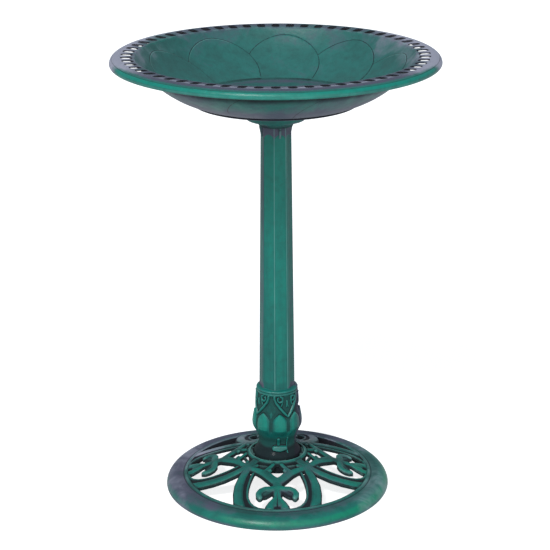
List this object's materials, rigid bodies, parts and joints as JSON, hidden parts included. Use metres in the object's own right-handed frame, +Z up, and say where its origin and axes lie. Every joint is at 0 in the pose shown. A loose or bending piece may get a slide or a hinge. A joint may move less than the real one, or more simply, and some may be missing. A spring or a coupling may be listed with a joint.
{
  "type": "bird bath",
  "caption": "Pedestal bird bath: shallow round basin with a slotted rim, on a faceted column with a leaf collar and an openwork scroll foot.",
  "frame": {"origin": "on the ground, at the centre of the foot ring", "axes": "+Z up along the column's axis; front towards -Y; +X to the right seen from the front"},
  "size_m": [0.504, 0.504, 0.711],
  "materials": {
    "resin": "satin, green with a rubbed purple-grey antique wash",
    "steel": "zinc plated",
    "rubber": "matt"
  },
  "bodies": {
    "foot": {"base": "resin"},
    "pedestal": {"collar": "resin", "column_shaft": "resin", "column_cap": "resin", "shaft_plug": "resin", "seat_pad": "rubber", "tie_rod": "steel", "top_washer": "steel", "top_nut": "steel", "bottom_washer": "steel", "bottom_nut": "steel"},
    "basin": {"bowl": "resin", "bowl_socket": "resin", "socket_screws": "steel"}
  },
  "joints": [
    {"name": "column_twist", "type": "hinge", "parent": "foot", "child": "pedestal", "pos_m": [0, 0, 0.05], "axis": [0, 0, 1], "range_deg": [0, 45]},
    {"name": "bowl_twist", "type": "hinge", "parent": "pedestal", "child": "basin", "pos_m": [0, 0, 0.62], "axis": [0, 0, 1], "range_deg": [0, 45]}
  ]
}
